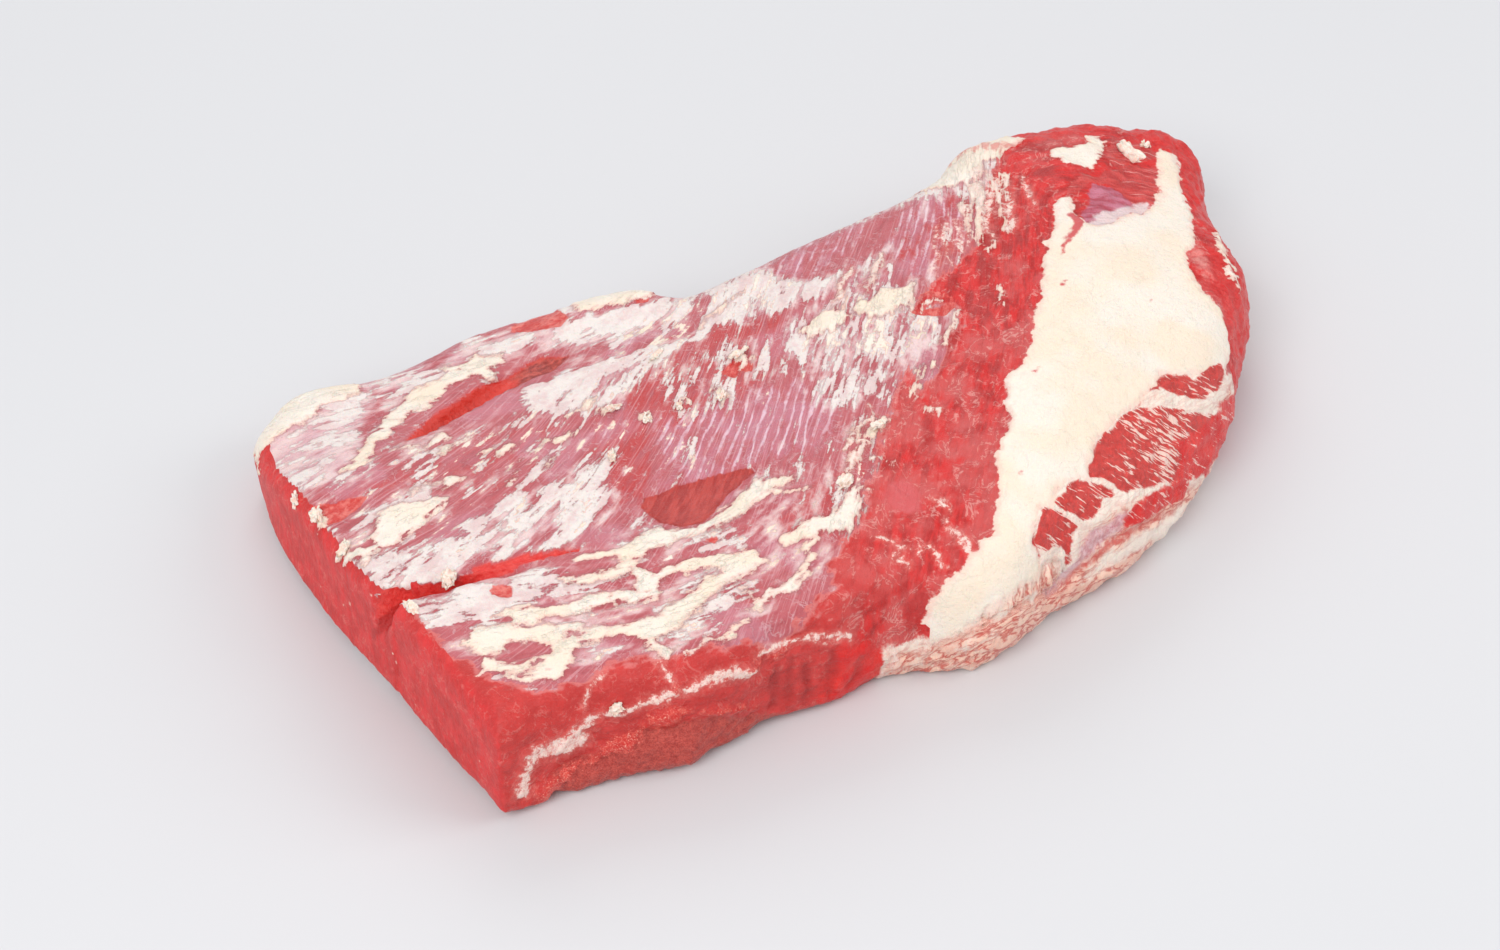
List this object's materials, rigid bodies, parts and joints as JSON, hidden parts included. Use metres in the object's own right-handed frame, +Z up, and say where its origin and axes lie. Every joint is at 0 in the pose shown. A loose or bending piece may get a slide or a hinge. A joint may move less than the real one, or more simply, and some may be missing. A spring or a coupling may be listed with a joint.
{
  "type": "raw beef brisket",
  "caption": "Whole raw beef brisket lying fat side down: a long flat with thin silverskin and smeared fat, a thick round point with a broad fat seam, and knife slits in the top.",
  "frame": {"origin": "middle of the bounding box, on the plane the meat rests on", "axes": "+X along the meat from the cut end of the flat to the round end of the point, +Y from the front long edge to the back one, +Z up"},
  "size_m": [0.5066, 0.2812, 0.0792],
  "materials": {
    "lean": "satin",
    "fat": "satin"
  },
  "bodies": {
    "root": {"brisket": "lean"}
  },
  "joints": []
}
